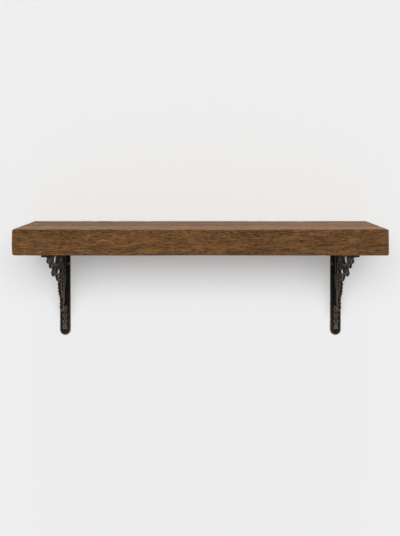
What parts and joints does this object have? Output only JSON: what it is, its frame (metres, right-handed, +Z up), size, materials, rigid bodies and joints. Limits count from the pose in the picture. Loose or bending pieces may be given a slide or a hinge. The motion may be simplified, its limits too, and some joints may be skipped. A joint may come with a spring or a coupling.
{
  "type": "bracket wall shelf",
  "caption": "Thick timber plank shelf carried on pierced cast-iron scroll brackets, which screw to a wall through their legs and into the plank through their arms.",
  "frame": {"origin": "middle of the board's back face, which lies on the wall", "axes": "+X along the board to the right as seen from the room, +Y into the wall, +Z up"},
  "size_m": [0.9144, 0.2432, 0.3115],
  "materials": {
    "timber": "satin, old brown stain",
    "iron": "rough cast, dark brown-black",
    "screw_steel": "dull, dark plated"
  },
  "bodies": {
    "root": {"shelf_board": "timber", "left_bracket": "iron", "right_bracket": "iron", "left_wall_screw_upper_left": "screw_steel", "left_wall_screw_upper_right": "screw_steel", "left_wall_screw_foot": "screw_steel", "right_wall_screw_upper_left": "screw_steel", "right_wall_screw_upper_right": "screw_steel", "right_wall_screw_foot": "screw_steel", "left_shelf_screw_left": "screw_steel", "left_shelf_screw_right": "screw_steel", "right_shelf_screw_left": "screw_steel", "right_shelf_screw_right": "screw_steel"}
  },
  "joints": []
}
